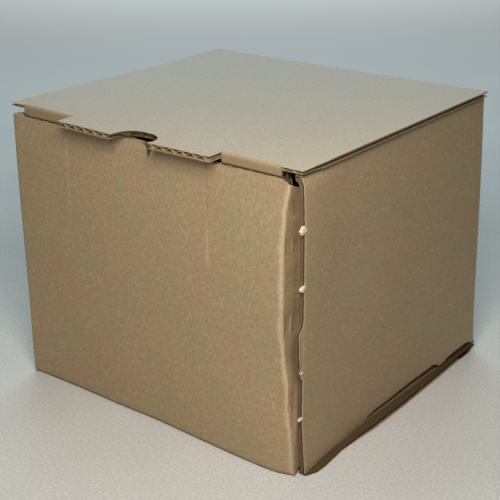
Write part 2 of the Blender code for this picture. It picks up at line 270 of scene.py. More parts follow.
def addSheet(work, sLines, tLines, lowDepth, highDepth, slot):
    # A thin closed sheet between two depth functions of s and t
    low, high = [[[work.verts.new((s, t, depth(s, t))) for t in tLines] for s in sLines]
                 for depth in (lowDepth, highDepth)]
    lastS = len(sLines) - 1
    lastT = len(tLines) - 1
    faces = []
    for i in range(lastS):
        for j in range(lastT):
            faces.append((low[i][j], low[i][j + 1], low[i + 1][j + 1], low[i + 1][j]))
            faces.append((high[i][j], high[i + 1][j], high[i + 1][j + 1], high[i][j + 1]))
    for i in range(lastS):
        for j in (0, lastT):
            ring = (low[i][j], low[i + 1][j], high[i + 1][j], high[i][j])
            faces.append(ring if j == 0 else ring[::-1])
    for j in range(lastT):
        for i in (0, lastS):
            ring = (low[i][j], high[i][j], high[i][j + 1], low[i][j + 1])
            faces.append(ring if i == 0 else ring[::-1])
    for corners in faces:
        work.faces.new(corners).material_index = slot


def flatBoard(name, outlines, extraS, extraT, closed):
    # The two liners and the wave between them, cut to the outline
    points = np.array(outlines[0])
    lowS, lowT = points.min(0) - board["margin"]
    highS, highT = points.max(0) + board["margin"]
    sLines = spaced(lowS, highS, board["gridStep"], extraS)
    tLines = spaced(lowT, highT, board["gridStep"], extraT)
    waveS = spaced(lowS, highS, board["pitch"] / board["waveSteps"])
    waveT = spaced(lowT, highT, board["longStep"])
    if closed:
        near = [t for t in np.arange(lowT, highT, board["crushStep"])
                if closed(t + board["crushAhead"]) > 0]
        waveT = spaced(lowT, highT, board["gridStep"], near)
    swing = (thick - 2 * board["liner"] - board["medium"]) / 2
    lowest = board["liner"] + board["gap"]

    def waveFace(side):
        # The wave's lower (-1) or upper (1) face, pressed flat where the board is closed
        def depth(s, t):
            share = closed(t) if closed else 0.0
            middle = thick / 2 + swing * math.sin(2 * math.pi * s / board["pitch"])
            place = (1 - share) * (middle + side * board["medium"] / 2) + share * board["crushed"][side > 0]
            return min(max(place, lowest), thick - lowest)

        return depth

    work = bmesh.new()
    addSheet(work, sLines, tLines, lambda s, t: 0.0, lambda s, t: board["liner"], slots["outer"])
    addSheet(work, sLines, tLines, lambda s, t: thick - board["liner"], lambda s, t: thick, slots["inner"])
    addSheet(work, waveS, waveT, waveFace(-1), waveFace(1), slots["medium"])
    bmesh.ops.recalc_face_normals(work, faces=work.faces)
    mesh = bpy.data.meshes.new(name)
    work.to_mesh(mesh)
    work.free()
    blank = linked(name + "Blank", mesh)
    cutter = prism(name + "Cutter", outlines, -board["cutterReach"], thick + board["cutterReach"])
    for material in boardMaterials:
        mesh.materials.append(material)
        cutter.data.materials.append(material)
    step = blank.modifiers.new("cut", "BOOLEAN")
    step.operation = "INTERSECT"
    step.solver = "EXACT"
    step.object = cutter
    made = evaluatedMesh(blank)
    made.name = name
    bpy.data.objects.remove(blank)
    bpy.data.objects.remove(cutter)
    return made


def edgeDistance(points, outlines):
    # Each point's distance from the nearest cut edge of the blank
    best = np.full(len(points), 1e9)
    for outline in outlines:
        corners = np.array(outline)
        for a, b in zip(corners, np.roll(corners, -1, axis=0)):
            run = b - a
            share = np.clip(((points - a) @ run) / max(run @ run, 1e-9), 0, 1)
            near = a + share[:, None] * run
            best = np.minimum(best, np.linalg.norm(points - near, axis=1))
    return best


def seamAt(*levels):
    # Edges at these places along t join other boards, and stay straight
    return lambda s, t: np.min([np.abs(t - level) for level in levels], axis=0) < board["seamReach"]


def remember(mesh, label, kind, values):
    attribute = mesh.attributes.new(label, "FLOAT_VECTOR" if kind == "vector" else "FLOAT", "POINT")
    attribute.data.foreach_set(kind, values.astype(np.float32).ravel())


def makeBoard(name, outlines, mapping, body, seam, extraS=(), extraT=(), wearAndHighlightAt=None, paintedShade=None,
              closed=None, seed=None, outer=None, flipped=False):
    # Lay the board out, roughen its cut edges, remember the flat place for the material, then fold it
    mesh = flatBoard(name, outlines, extraS, extraT, closed)
    if outer:
        mesh.materials[slots["outer"]] = outer
    if flipped:
        mesh.flip_normals()
    count = len(mesh.vertices)
    flat = np.zeros(count * 3, np.float32)
    mesh.vertices.foreach_get("co", flat)
    flat = flat.reshape(-1, 3).astype(float)
    if seed is None:
        seed = sum(ord(letter) for letter in name) * board["seedStep"]
    atEdge = edgeDistance(flat[:, :2], outlines) < board["ragReach"]
    if seam:
        atEdge &= ~seam(flat[:, 0], flat[:, 1])
    placed = flat.copy()
    for index in np.nonzero(atEdge)[0]:
        s, t, d = flat[index]
        layer = round(d / thick * 2)
        coarse, fine = [Vector((s * scale + seed, t * scale, layer * apart))
                        for scale, apart in board["ragScales"]]
        aside = coarse + Vector((board["ragShift"], 0, 0))
        ripple = board["ragFine"] * noise.noise(fine)
        placed[index, 0] += board["rag"] * (noise.noise(coarse) + ripple)
        placed[index, 1] += board["rag"] * (noise.noise(aside) + ripple)
    world = mapping(*placed.T) / perMetre
    mesh.vertices.foreach_set("co", world.astype(np.float32).ravel())
    remember(mesh, "flat", "vector", flat)
    s, t, d = flat.T
    none = np.zeros(count)
    # This attribute lightens worn edges and carries painted highlights along creases, slits and the nose
    remember(mesh, "wearAndHighlight", "value", np.clip(wearAndHighlightAt(s, t) * (d < board["outerSide"]), 0, 1) if wearAndHighlightAt else none)
    # This attribute marks painted shade: darkened creases, gaps, hollows and shaded cut faces
    remember(mesh, "paintedShade", "value", np.clip(paintedShade(s, t, d), 0, 1) if paintedShade else none)
    mesh.update()
    mesh.shade_smooth()
    mesh.set_sharp_from_angle(angle=math.radians(board["sharpAngle"]))
    piece = linked(name, mesh)
    if body:
        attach(piece, body)
    return piece


def join(*columns):
    return np.stack(np.broadcast_arrays(*columns), axis=1)


def smooth(value, low, high):
    share = np.clip((value - low) / (high - low), 0, 1)
    return share * share * (3 - 2 * share)


def softLine(distance, width):
    return np.exp(-(distance / width) ** 2)


def legLength(leg):
    length, radius, turn = leg
    return abs(math.radians(turn)) * radius if turn else length


def runOf(legs):
    return sum(legLength(leg) for leg in legs)


def pathPlace(legs, start, heading, u, d):
    # Follow straight legs and arcs in a plane. Each leg is (length, radius, turn in degrees);
    # a turn to the right is towards the inner face, which lies on the right of the heading.
    a = np.full(u.shape, np.nan)
    b = a.copy()
    point = np.array(start, float)
    angle = math.radians(heading)
    begun = 0.0
    for index, leg in enumerate(legs):
        radius, turn = leg[1:]
        length = legLength(leg)
        inside = (u >= begun - tiny if index else np.isfinite(u)) & np.isnan(a)
        if index < len(legs) - 1:
            inside &= u <= begun + length + tiny
        along = u[inside] - begun
        depth = d[inside]
        direction = np.array((math.cos(angle), math.sin(angle)))
        right = np.array((direction[1], -direction[0]))
        if turn:
            share = np.clip(along / length, 0, 1)
            side = math.copysign(1, turn)
            if turn > 0:
                tight = (radius - board["minimumInner"]) / thick
                tight = max(board["leastDepth"], min(1, tight))
                ends = np.minimum(share, 1 - share) / board["squeezeShare"]
                depth = depth * (1 - (1 - tight) * np.minimum(1, ends))
            spoke = -side * right
            centre = point - radius * spoke
            bent = math.radians(abs(turn))
            turned = spoke[:, None] * np.cos(bent * share) + direction[:, None] * np.sin(bent * share)
            a[inside], b[inside] = centre[:, None] + turned * (radius - side * depth)
            point = centre + radius * (spoke * math.cos(bent) + direction * math.sin(bent))
            angle -= math.radians(turn)
        else:
            a[inside], b[inside] = point[:, None] + direction[:, None] * along + right[:, None] * depth
            point = point + direction * length
        begun += length
    return a, b


def softened(values, reach):
    kernel = np.hanning(2 * reach + 1)
    return np.convolve(np.pad(values, reach, mode="edge"), kernel / kernel.sum(), mode="valid")


def lineThrough(points, t):
    # A soft line through (height, place) pairs
    fine = np.linspace(points[0][0], points[-1][0], corner["lineSteps"])
    return np.interp(t, fine, softened(tableAt(points, fine), corner["lineSoft"]))


def foldProfile(turns):
    # The fold's course for a run of one millimetre, and how sharply it bends
    margin = corner["margin"]
    share = np.linspace(-margin, 1 + margin, corner["foldSteps"])
    heading = sum(math.radians(turn) * smooth(share, low, high) for low, high, turn in turns)
    step = share[1] - share[0]
    ahead = np.cumsum(np.cos(heading)) * step
    behind = np.cumsum(np.sin(heading)) * step
    ahead -= np.interp(0, share, ahead)
    behind -= np.interp(0, share, behind)
    bend = np.abs(np.gradient(heading, step))
    reach = corner["bendSoft"]
    widest = np.array([bend[max(0, i - reach):i + reach + 1].max() for i in range(len(bend))])
    return {"share": share, "heading": heading, "ahead": ahead, "behind": behind,
            "bend": softened(widest, reach), "far": ahead.max(), "end": np.interp(1, share, ahead),
            "depth": np.interp(1, share, behind)}


plainFold = foldProfile(corner["plainTurns"])
bulgeFold = foldProfile(corner["bulgeTurns"])


def foldRun(face, side, t):
    # Which profile a corner has, where its fold starts and how long it runs
    outer = size["flapFace"]
    if face < 0 and side < 0:
        far = lineThrough(corner["bulgeLine"], t)
        run = (far - outer) / (bulgeFold["far"] - bulgeFold["end"])
        return bulgeFold, far - run * bulgeFold["far"], run
    line = corner["foldLine"] if face < 0 else corner["backLine"]
    ripple = sum(share * np.sin(t * rate + shift) for share, rate, shift in front["ripples"])
    wave = front["creaseWave"] * ripple * smooth(t, *front["rippleFrom"])
    run = (outer - lineThrough(line, t) - wave * (1 - smooth(t, *front["rippleTo"]))) / plainFold["end"]
    return plainFold, outer - run * plainFold["end"], run


def frontRise(s, t):
    # The front wall stands a little higher towards its left end
    left = np.clip((front["riseFrom"] - s) / (front["riseFrom"] + size["sideFace"]), 0, 1)
    return front["topRise"] * left * smooth(t, front["riseFoot"], size["frontTop"])


def bellyAt(s, t):
    # The front and back walls bow out a little in the middle
    across = np.clip(1 - (s / size["flapFace"]) ** 2, 0, 1)
    return front["bow"] * across * np.sin(np.clip(t / size["frontTop"], 0, 1) * math.pi)


def cornerShift(s, t):
    # The front wall's foot stands out, and its right corner follows the side wall's bulge
    flare = lineThrough(front["footFlare"], s) * (1 - smooth(t, 0, front["flareHeight"]))
    flare = flare * smooth(t, footLow, footLow + front["flareSeam"])
    aside = lineThrough(roll["nearLine"], t) * smooth(s, *front["asideFrom"])
    return flare, aside * (1 - smooth(s, *front["asideTo"]))


def wallMap(face, s, t, d):
    # The front (face -1) or back (face +1) wall with its corner folds and rolled foot
    x = np.zeros(s.shape)
    back = np.zeros(s.shape)
    runs = np.zeros(s.shape)
    for side in (-1, 1):
        here = s * side >= 0
        profile, start, length = foldRun(face, side, t[here])
        run = np.abs(s[here]) - start
        share = np.clip(run / length, -corner["margin"], 1 + corner["margin"])
        heading = np.interp(share, profile["share"], profile["heading"])
        sharp = np.interp(share, profile["share"], profile["bend"]) / length
        depth = d[here] * (1 + (thick * sharp / corner["tightest"]) ** 4) ** -0.25
        ahead = length * np.interp(share, profile["share"], profile["ahead"])
        ahead += np.minimum(run + corner["margin"] * length, 0)
        behind = length * np.interp(share, profile["share"], profile["behind"])
        behind += np.maximum(run - (1 + corner["margin"]) * length, 0)
        x[here] = side * (start + ahead - depth * np.sin(heading))
        back[here] = behind + depth * np.cos(heading)
        runs[here] = run
    foot = front["footRadius"]
    reach = foot - front["footPress"] * d
    turned = np.clip((foot - t) / foot, 0, math.pi / 2)
    rolled = np.where(t < foot, 1 - smooth(runs, *front["footFade"]), 0)
    z = t + rolled * (foot - reach * np.sin(turned) - t)
    back = back + rolled * (foot - reach * np.cos(turned) - d)
    if face < 0:
        z = z + frontRise(s, t)
        flare, aside = cornerShift(s, t)
        x = x + aside
        back = back - flare
    distance = abs(size["frontFace"]) if face < 0 else size["backFace"]
    return join(x, face * (distance - back + bellyAt(s, t) * (runs <= 0)), z)


def wallOutline(face, top, cornerStart):
    notch = front["cornerNotch"]
    beyond, near, under = front["bulgeTop"]
    halves = []
    for side in (-1, 1):
        profile, start, run = foldRun(face, side, np.array([0, size["frontTop"] / 2, size["flapTop"]]))
        footEnd, middleEnd, topEnd = start + run
        end = middleEnd - run[1] * profile["depth"] + abs(size["frontFace"]) - abs(size["flapEnd"])
        footSide = start[0] - front["footInset"]
        half = [(footSide, footLow), (footSide + front["footStep"], front["footEdge"]),
                (footEnd, front["footEdge"]),
                (footEnd + front["footRun"], notch), (end, notch + front["flapTaper"]),
                (end, size["flapTop"] - front["flapTaper"])]
        if face < 0 and side < 0:
            half += [(topEnd + beyond, size["flapTop"]), (topEnd + near, top - under), (cornerStart, top)]
        else:
            half += [(topEnd, size["flapTop"] - front["cornerDrop"] * (face < 0)), (cornerStart, top)]
        halves.append([(side * s, t) for s, t in half])
    return halves[1] + halves[0][::-1]


def foldLines(face):
    # Grid lines where the corners bend
    before, after = corner["gridReach"]
    lines = []
    for side in (-1, 1):
        start, run = foldRun(face, side, np.array([size["frontTop"] / 2]))[1:]
        low = float(start[0]) - before
        high = float((start + run)[0]) + after
        lines += [side * value for value in np.arange(low, high, corner["gridStep"])]
    return lines


def tongueEdges():
    low, high = nodeBox("front_tongue")
    return low.x, high.x


def makeFront():
    top = size["frontTop"]
    outline = wallOutline(-1, top, front["cornerStart"])
    left, right = tongueEdges()
    foot = front["windowFoot"]
    window = [(right + width + tableAt(front["slitWander"], height), height)
              for height, width in front["rightSlit"]]
    window += [(left - front["leftSlit"], foot), (left - front["leftSlit"], top)]
    halfway = outline.index((front["cornerStart"], top)) + 1
    outline = outline[:halfway] + window + outline[halfway:]
    slitLines = [left - reach for reach in front["leftLines"]]
    slitLines += [right + reach for reach in front["rightLines"]]

    def seam(s, t):
        inWindow = (s > left - 1) & (s < right + 1)
        return seamAt(footLow)(s, t) | inWindow & seamAt(foot)(s, t)

    # Painted highlight along the corner fold's ridge, and the slits' painted highlights
    def wearAndHighlightAt(s, t):
        start, run = foldRun(-1, 1, t)[1:]
        share, rate, slow, shift = front["creaseRagged"]
        ragged = front["creaseHighlight"] * (1 + share * np.sin(t * rate) * np.sin(t * slow + shift))
        wearAndHighlight = softLine(s - start - front["creaseLight"] * run, ragged)
        return wearAndHighlight + slitHighlight(s, t)

    # Painted shade on the fold's facet beyond the ridge, and in the wall's top right corner
    def paintedShade(s, t, d):
        start, run = foldRun(-1, 1, t)[1:]
        inFold = smooth((s - start) / run, *front["darkShares"]) * (d < board["outerSide"])
        atTop = (s > front["cornerStart"] - 1) & (t > size["flapTop"] - 2 * front["cornerDrop"])
        atTop = atTop & (d > front["topDepth"])
        return np.maximum(front["creaseShade"] * inFold, front["topShade"] * atTop)

    piece = makeBoard("frontBoard", [outline], lambda s, t, d: wallMap(-1, s, t, d), "shell", seam,
                      foldLines(-1) + slitLines, footLines, wearAndHighlightAt, paintedShade, seed=front["seed"])
    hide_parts("front_wall", "front_left_flap", "front_right_flap")


def slitHighlight(s, t):
    # Painted highlights along the slits, standing for their lit cut faces, most where the slit is nearly shut
    left, right = tongueEdges()
    start, full = front["slitFade"]
    above = smooth(t, front["windowFoot"] + start, front["windowFoot"] + full)
    least, more, rate, slow, shift = front["leftPatches"]
    patches = least + more * np.sin(t * rate) * np.sin(t * slow + shift)
    leftLine = softLine(s - left, front["slitWidth"]) * patches
    rightLine = softLine(s - right, front["slitWidth"])
    rightLine = rightLine * (1 - front["rightFaded"] * smooth(t, *front["rightFade"]))
    return front["slitHighlight"] * above * (leftLine + rightLine)


back = {"top": 150.2, "hingeHalf": 82.6}


def makeBack():
    outline = wallOutline(1, back["top"], back["hingeHalf"])
    piece = makeBoard("backBoard", [outline], lambda s, t, d: wallMap(1, s, t, d), "shell",
                      seamAt(footLow, back["top"]), foldLines(1), footLines)
    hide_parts("back_wall", "back_left_flap", "back_right_flap")


tongue = {
    "lean": 0.35,
    "leanFade": 3.0,
    "slitStart": 0.4,
    "thumbLeft": -22.9,
    "thumbRight": 0.5,
    "thumbCorner": 4.0,
    "thumbSag": 0.7,
    "leftCutWidth": 0.4,
    "leftCutDepth": 9.0,
    "rightCutWidth": 3.6,
    "rightCutDepth": 5.6,
    "rightCutFoot": 1.0,
    # Painted shade in the V cut beside the thumb tab
    "cutShade": 0.9,
    # How far the cut's painted shade shifts aside, reaches down and starts behind the outer face
    "darkReach": (1.0, 0.3, 0.15),
    "edgeLines": (0.6, 1.5),
    "flexGrid": (-3.6, 0.6, 14),
    "flexCrush": (0.5, 3.5, 6.5),
    "blendBelow": 2.5,
    "blendAbove": 3.5,
}


def arcPoints(centreS, centreT, radius, start, end, steps=6):
    turns = [math.radians(start + (end - start) * step / steps) for step in range(steps + 1)]
    return [(centreS + radius * math.cos(turn), centreT + radius * math.sin(turn)) for turn in turns]


def rectangle(lowS, lowT, highS, highT):
    return [(lowS, lowT), (highS, lowT), (highS, highT), (lowS, highT)]


def makeTongue():
    left, right = tongueEdges()
    foot = front["windowFoot"]
    flex = hinge["tongue_crease"].z
    top = size["frontTop"]
    curve = tongue["thumbCorner"]
    thumbLeft = tongue["thumbLeft"]
    thumbRight = tongue["thumbRight"]
    thumbTop = size["thumbTop"] - curve
    leftCut = thumbLeft - tongue["leftCutWidth"]
    leftCutFoot = top - tongue["leftCutDepth"]
    rightCutFoot = top - tongue["rightCutDepth"]
    leftFoot = left - front["leftSlit"]
    rightFoot = right + front["rightSlit"][-1][1]
    outline = [(rightFoot, foot), (rightFoot, flex), (right, flex + tongue["slitStart"])]
    outline += [(right + shift, height) for height, shift in front["slitWander"] if height > flex + 1]
    outline += [(right, top), (thumbRight + tongue["rightCutWidth"], top),
                (thumbRight + tongue["rightCutFoot"], rightCutFoot)]
    outline += arcPoints(thumbRight - curve, thumbTop - tongue["thumbSag"], curve, 0, 90)
    outline += arcPoints(thumbLeft + curve, thumbTop, curve, 90, 180)
    outline += [(thumbLeft, leftCutFoot), (leftCut, leftCutFoot), (leftCut, top), (left, top),
                (left, flex + tongue["slitStart"]), (leftFoot, flex), (leftFoot, foot)]
    lean = math.radians(tongue["lean"])
    darkShift, darkDown, darkDepth = tongue["darkReach"]
    gridStart, gridGap, gridCount = tongue["flexGrid"]
    crushMiddle, crushed, whole = tongue["flexCrush"]

    def place(s, t, d):
        up = np.maximum(t - flex, 0)
        y = size["frontFace"] + up * math.sin(lean) + d - bellyAt(s, t)
        leant = up * math.cos(lean) - d * math.sin(lean) * smooth(up, 0, tongue["leanFade"])
        return join(s, y, np.minimum(t, flex) + leant + frontRise(s, t))

    # Painted shade on the faces of the V cut
    def paintedShade(s, t, d):
        inCut = np.abs(s - thumbRight - darkShift) < tongue["rightCutWidth"]
        return tongue["cutShade"] * inCut * (t > rightCutFoot - darkDown) * (d > darkDepth)

    def closed(t):
        return float(1 - smooth(abs(t - flex - crushMiddle), crushed, whole))

    edges = [left + reach for reach in tongue["edgeLines"]]
    edges += [right - reach for reach in tongue["edgeLines"]]
    lines = stepped(flex + gridStart, gridGap, gridCount)
    piece = makeBoard("tongueBoard", [outline], place, None, seamAt(foot), edges, lines, slitHighlight, paintedShade,
                      closed, front["seed"])
    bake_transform(piece)
    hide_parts("front_tongue")


# The right wall's lower edge is torn off above the floor in steps, and the bottom board shows under it.
# Lines are pairs: a height and a place, or a place from front to back and a height or distance.
roll = {
    "crease": 1.9,
    "tabWidth": 30.0,
    "tabCentre": 45.0,
    "tabFoot": 0.4,
    "tabTaper": 0.6,
    "innerFoot": 0.4,
    "innerStart": 1.0,
    "tornFoot": ((-90, 0.4), (-83, 0.6), (-72, 1.6), (-56, 1.8), (-49, 2.0), (-40, 2.7), (-32, 2.9),
                 (-27, 3.8), (-23, 5.1), (-19, 5.5), (-6, 5.6), (6, 6.1), (19, 6.5), (32, 6.8), (41, 7.4),
                 (44, 6.8), (47.6, 4.2), (53, 4.9), (57, 6.4), (67, 7.4), (76, 7.6), (80, 6.9), (83, 5.6),
                 (85.5, 3.8), (88, 2.2)),
    "plainFoot": 0.3,
    "tornGap": 0.2,
    "tearRun": 4.0,
    # Painted shade along the right wall's torn foot
    "tearShade": 0.8,
    "tornFront": ((0, 0.0), (22, 0.3), (51, 0.0), (52.5, 1.4), (56, 2.2), (60, 2.4), (64.5, 3.0), (72, 3.5),
                  (76.5, 3.7), (79.5, 0.9), (83, 0.0), (95, 0.2), (100, 0.6), (103, 0.0), (126, 0.4),
                  (150, 0.0)),
    "bulgedFront": -79.6,
    "frontRun": 1.5,
    # The edge is pressed shut between these distances from it
    "pressedEdge": (2.6, 0.4),
    # Painted shade on the side walls' front cut edges
    "edgeShade": 0.78,
    "edgeRun": 1.4,
    "darkOver": 8.0,
    "nearLine": ((0, 2.3), (12, 1.6), (28, 0.7), (57, 0.9), (100, 1.8), (128, 2.2), (150, 1.6)),
    "nearReach": 45.0,
    "farLine": ((0, 2.6), (12, 1.9), (30, 1.5), (80, 1.3), (120, 0.8), (150, 0.0)),
    "farReach": 70.0,
    "bowFade": (-4, 2),
    "innerDip": 19.0,
    "dipPower": 0.6,
    "dipShares": (0.04, 0.1, 0.2, 0.35, 0.5, 0.65, 0.8, 0.9, 0.96),
    "ridgeWear": (0.4, 1.2, 1.6),
    "edgeWear": (0.5, 0.5),
    "creaseGrid": (0.3, 14),
    "runGrid": 1.4,
}


def sideLegs():
    width = size["sideFace"] - size["innerFace"]
    crease = roll["crease"]
    rise = size["spineTop"] - crease
    return [(rise, 0, 0), (0, crease, 90), (width - 2 * crease, 0, 0), (0, crease, 90), (rise, 0, 0)]


def sideRuns(legs):
    # Where the rise ends, how long each crease is, and where the inner layer starts
    rise = legs[0][0]
    arc = roll["crease"] * math.pi / 2
    return rise, arc, rise + 2 * arc + legs[2][0]


def tornHeight(t):
    return tableAt(roll["tornFoot"], t)


def sideOutline(side, legs):
    rise, arc, toInner = sideRuns(legs)
    spineEnd = toInner - arc / 2 - 1
    innerEnd = toInner + legs[4][0]
    innerFoot = innerEnd - thick - roll["innerFoot"]
    tabFoot = innerEnd - roll["tabFoot"]
    wide = -size["sideFront"]
    narrow = -size["innerFront"]
    middle = roll["tabCentre"]
    half = roll["tabWidth"] / 2
    halfFoot = half - roll["tabTaper"]
    tab = [(innerFoot, middle + half), (tabFoot, middle + halfFoot), (tabFoot, middle - halfFoot),
           (innerFoot, middle - half)]
    inner = [(toInner + roll["innerStart"], narrow), (innerFoot, narrow)]
    behind = [(spineEnd, wide)] + inner + tab
    if side < 0:
        foot = roll["plainFoot"]
        ahead = [(foot, roll["bulgedFront"]), (spineEnd, roll["bulgedFront"])]
        ahead += [(s, -t) for s, t in inner + tab]
        return [(foot, wide)] + behind + ahead[::-1]
    torn = [(tornHeight(-wide), -wide)]
    torn += [(height, place) for place, height in roll["tornFoot"] if -wide < place < wide]
    torn += [(tornHeight(wide), wide)]
    ahead = [(height, -wide - reach) for height, reach in roll["tornFront"][1:]]
    ahead += [(rise + arc + roll["frontRun"], -wide), (toInner - arc, -narrow)]
    # The inner layer is cut back where the front corner's fold comes in
    ahead += [(toInner + legs[4][0] * share,
               -narrow + roll["innerDip"] * math.sin(math.pi * share) ** roll["dipPower"])
              for share in roll["dipShares"]]
    ahead += [(innerFoot, -narrow)] + [(s, -t) for s, t in tab]
    return behind + ahead[::-1] + torn


def makeSide(side):
    legs = sideLegs()
    rise, arc, toInner = sideRuns(legs)
    wide = -size["sideFront"]
    outerFront = roll["bulgedFront"] if side < 0 else size["sideFront"]
    gap, count = roll["creaseGrid"]
    extraS = stepped(rise - gap, gap, count) + stepped(toInner - arc - gap, gap, count)
    extraT = list(np.arange(-wide, wide, roll["runGrid"]))

    def place(s, t, d):
        # The right wall's inner liner reaches below the torn edge, down to the bottom board
        torn = tornHeight(t)
        drop = np.maximum(torn - thick - roll["tornGap"], 0)
        drop = drop * (1 - smooth(s - torn, 0, roll["tearRun"]))
        s = s - drop * ((side > 0) & (d > thick - board["liner"] - board["nearly"]))
        across, z = pathPlace(legs, (-size["sideFace"], 0), 90, s, d)
        near = 1 - smooth(t, -wide, roll["nearReach"] - wide)
        far = smooth(t, wide - roll["farReach"], wide)
        bow = lineThrough(roll["nearLine"], s) * near + lineThrough(roll["farLine"], s) * far
        return join(side * (bow * (1 - smooth(s - rise, *roll["bowFade"])) - across), t, z)

    def closed(t):
        return float(smooth(outerFront - t, *[-distance for distance in roll["pressedEdge"]]))

    def wearAndHighlightAt(s, t):
        amount, shift, width = roll["ridgeWear"]
        ridge = amount * softLine(s - rise - shift, width)
        amount, width = roll["edgeWear"]
        return ridge + amount * softLine(t - outerFront, width) * (s < rise)

    # Painted shade on the front cut edge and, on the right wall, along the torn foot
    def paintedShade(s, t, d):
        atFront = (t < outerFront + roll["edgeRun"]) & (s < rise + roll["darkOver"] * (side > 0))
        atTear = (side > 0) & (s < tornHeight(t) + roll["tearRun"])
        return np.maximum(roll["edgeShade"] * atFront, roll["tearShade"] * atTear) * (d > board["underLiner"])

    prefix = "left" if side < 0 else "right"
    piece = makeBoard(prefix + "SideBoard", [sideOutline(side, legs)], place, "shell", None, extraS, extraT,
                      wearAndHighlightAt, paintedShade, closed, flipped=side < 0)
    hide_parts(prefix + "_outer_wall", prefix + "_spine", prefix + "_inner_wall")


bottom = {
    # How far its right edge stands out past the side wall, as (place from front to back, distance)
    "ledge": ((-86.5, 3.0), (-80, 5.8), (-72, 5.8), (-56, 4.2), (-40, 4.8), (-28, 5.6), (-6, 5.5),
              (10, 5.1), (32, 4.4), (45, 3.9), (57, 3.2), (72, 2.7), (80, 2.9), (86.4, 2.7), (87.2, 1.2)),
    "hollow": 2.4,
    "cornerCurl": 2.4,
    "curlStart": 77.0,
    "underWall": 88.0,
    "crushRun": 1.5,
    "wallGap": 0.35,
    "thinnest": 0.12,
    "slotGap": (0.3, 0.5),
    "edgeGrid": (86.6, 0.5, 8),
    "ledgeStart": 91.5,
    "farStart": 70.0,
    # Painted shade on the ledge that stands out under the right wall
    "ledgeShade": 1.0,
}


def makeBottom():
    halfX = size["bottomX"]
    halfY = size["bottomY"]
    face = size["sideFace"]
    ledge = [(face + reach, place) for place, reach in bottom["ledge"]]
    outlines = [[(-halfX, -halfY), (halfX, -halfY)] + ledge + [(halfX, halfY), (-halfX, halfY)]]
    across, along = bottom["slotGap"]
    outer = size["innerFace"] + thick + across
    inner = size["innerFace"] - across
    half = roll["tabWidth"] / 2 + along
    for side in (-1, 1):
        for middle in (-roll["tabCentre"], roll["tabCentre"]):
            low, high = sorted((side * inner, side * outer))
            outlines.append(rectangle(low, middle - half, high, middle + half))

    def place(s, t, d):
        # The board is crushed where the wall stands on its edge
        room = np.clip((tornHeight(t) - bottom["wallGap"]) / thick, bottom["thinnest"], 1)
        inMedium = (d > board["liner"]) & (d < thick - board["liner"])
        retreat = bottom["hollow"] * smooth(s, face - 1, face + 1) * inMedium
        curl = smooth(t, bottom["curlStart"], halfY)
        crush = (1 - room) * smooth(s, bottom["underWall"], bottom["underWall"] + bottom["crushRun"])
        raised = bottom["cornerCurl"] * curl * smooth(s, bottom["underWall"], face + 1)
        return join(s - retreat * (1 - curl), t, d * (1 - crush) + raised)

    # Painted shade on the ledge under the right wall
    def paintedShade(s, t, d):
        shaded = np.maximum(d > thick - board["face"], t > bottom["farStart"])
        return bottom["ledgeShade"] * (s > bottom["ledgeStart"]) * shaded

    piece = makeBoard("bottomBoard", outlines, place, "shell", None, stepped(*bottom["edgeGrid"]),
                      paintedShade=paintedShade, flipped=True)
    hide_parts("bottom")


tufts = {
    # Bits of torn liner along the right wall's front edge: (height, width, tall)
    "places": ((128.5, 4.6, 3.6), (99.5, 4.0, 3.2), (56.0, 1.8, 2.0), (31.0, 3.8, 1.6)),
    "x": 93.6,
    "y": -86.8,
    "setIn": 1.0,
    "thick": 1.6,
    "rough": 0.55,
    "noiseScale": 1.3,
    "noiseSeed": (5.3, 2.1, 0.7),
    "fractal": (0.8, 2.0, 4),
    "subdivisions": 4,
}


def makeTufts():
    work = bmesh.new()
    apart, shiftY, shiftZ = tufts["noiseSeed"]
    for index, (height, width, tall) in enumerate(tufts["places"]):
        seed = Vector((index * apart, shiftY, shiftZ))
        middle = tufts["x"] + lineThrough(roll["nearLine"], height) - tufts["setIn"]
        ball = bmesh.ops.create_icosphere(work, subdivisions=tufts["subdivisions"], radius=0.5)["verts"]
        for vertex in ball:
            way = vertex.co.normalized() * tufts["noiseScale"] + seed
            x, y, z = vertex.co * (1 + tufts["rough"] * noise.fractal(way, *tufts["fractal"]))
            place = (middle + x * tufts["thick"], tufts["y"] + y * width, height + z * tall)
            vertex.co = Vector(place) / perMetre
    mesh = bpy.data.meshes.new("tornLiner")
    work.to_mesh(mesh)
    work.free()
    mesh.materials.append(tuftMaterial)
    mesh.shade_smooth()
    piece = linked("tornLiner", mesh)
    flat = np.zeros(len(mesh.vertices) * 3, np.float32)
    mesh.vertices.foreach_get("co", flat)
    remember(mesh, "flat", "vector", flat * perMetre)
    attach(piece, "shell")


